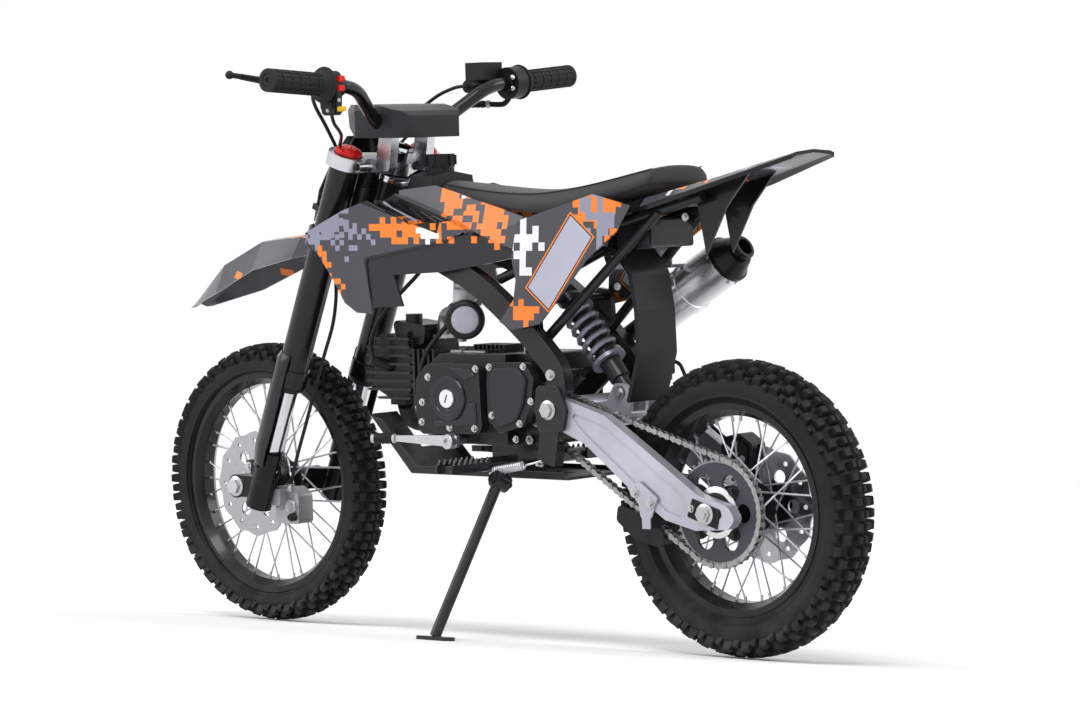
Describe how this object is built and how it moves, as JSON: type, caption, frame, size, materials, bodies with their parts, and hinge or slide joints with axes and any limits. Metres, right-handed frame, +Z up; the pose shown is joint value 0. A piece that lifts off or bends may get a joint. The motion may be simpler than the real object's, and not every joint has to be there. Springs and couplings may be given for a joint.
{
  "type": "off-road motorcycle",
  "caption": "Small knobbly-tyred off-road motorcycle with turning wheels, turning forks and a folding side stand, parked on that stand.",
  "frame": {"origin": "middle of the machine's box on the ground it is parked on", "axes": "+X forward along the machine, +Y to the rider's left, +Z up; the machine leans to +Y"},
  "size_m": [1.4944, 0.7212, 0.9728],
  "materials": {
    "rubber_tyre": "matt moulded rubber",
    "rim_black": "gloss black powder coat",
    "hub_spokes": "black hub with bright spokes",
    "sprocket_steel": "dark steel",
    "disc_steel": "ground steel",
    "chain_steel": "oiled steel",
    "fork_black": "satin black anodised",
    "fork_chrome": "hard chrome",
    "clamp_silver": "machined aluminium",
    "cap_red": "red anodised",
    "bar_black": "gloss black",
    "control_black": "black control housings and levers",
    "grip_rubber": "ribbed soft rubber",
    "plate_black": "gloss black",
    "body_plastic": "dark grey plastic with orange and white film",
    "under_plastic": "black moulded plastic",
    "seat_cover": "grained vinyl over foam",
    "frame_black": "gloss black powder coat",
    "bolt_steel": "zinc plated",
    "swingarm_silver": "silver paint",
    "shock_spring": "lavender grey spring on a black body",
    "engine_black": "semi gloss black casting",
    "carb_alloy": "cast alloy with a black filter",
    "pipe_black": "heat proof black",
    "silencer_alloy": "brushed aluminium can",
    "caliper_metal": "silver and black castings",
    "hose_rubber": "black brake hose and guide"
  },
  "bodies": {
    "chassis": {"frame_head": "frame_black", "frame_left": "frame_black", "frame_right": "frame_black", "subframe": "frame_black", "swingarm": "swingarm_silver", "pivot_bolt": "bolt_steel", "rear_axle": "bolt_steel", "shock": "shock_spring", "crankcase": "engine_black", "cylinder": "engine_black", "carburettor": "carb_alloy", "exhaust_pipe": "pipe_black", "silencer": "silencer_alloy", "skid_plate": "frame_black", "footpegs": "frame_black", "gear_lever": "swingarm_silver", "brake_pedal": "frame_black", "tank": "under_plastic", "fuel_cap": "under_plastic", "shroud_left": "body_plastic", "shroud_right": "body_plastic", "side_panel_left": "body_plastic", "side_panel_right": "body_plastic", "seat": "seat_cover", "rear_fender": "body_plastic", "inner_mudguard": "under_plastic", "chain": "chain_steel", "drive_sprocket": "sprocket_steel", "chain_guide": "hose_rubber", "rear_caliper": "caliper_metal", "rear_brake_line": "hose_rubber"},
    "rear_wheel": {"rear_tyre": "rubber_tyre", "rear_rim": "rim_black", "rear_hub": "hub_spokes", "rear_sprocket": "sprocket_steel", "rear_disc": "disc_steel"},
    "front_wheel": {"front_tyre": "rubber_tyre", "front_rim": "rim_black", "front_hub": "hub_spokes", "front_disc": "disc_steel"},
    "steering": {"fork_outer_left": "fork_black", "fork_outer_right": "fork_black", "fork_leg_left": "fork_chrome", "fork_leg_right": "fork_chrome", "fork_guards": "plate_black", "upper_clamp": "clamp_silver", "lower_clamp": "fork_black", "front_axle": "bolt_steel", "handlebar": "bar_black", "bar_pad": "grip_rubber", "grip_left": "grip_rubber", "grip_right": "grip_rubber", "controls_left": "control_black", "controls_right": "control_black", "number_plate": "plate_black", "front_fender": "body_plastic", "front_caliper": "caliper_metal", "front_brake_hose": "hose_rubber", "fork_caps": "cap_red"},
    "side_stand": {"side_stand": "frame_black"}
  },
  "joints": [
    {"name": "rear_wheel_spin", "type": "hinge", "parent": "chassis", "child": "rear_wheel", "pos_m": [-0.51562, -0.08204, 0.23162], "axis": [0, 0.9925, -0.1219], "continuous": true},
    {"name": "steering_turn", "type": "hinge", "parent": "chassis", "child": "steering", "pos_m": [0.19538, -0.01298, 0.79409], "axis": [-0.3746, 0.113, 0.9203], "range_deg": [-38, 38]},
    {"name": "front_wheel_spin", "type": "hinge", "parent": "steering", "child": "front_wheel", "pos_m": [0.50938, -0.08131, 0.23757], "axis": [0, 0.9925, -0.1219], "continuous": true},
    {"name": "side_stand_fold", "type": "hinge", "parent": "chassis", "child": "side_stand", "pos_m": [-0.11062, 0.0398, 0.25565], "axis": [0.2498, 0.8966, 0.3655], "range_deg": [0, 107.6]}
  ]
}
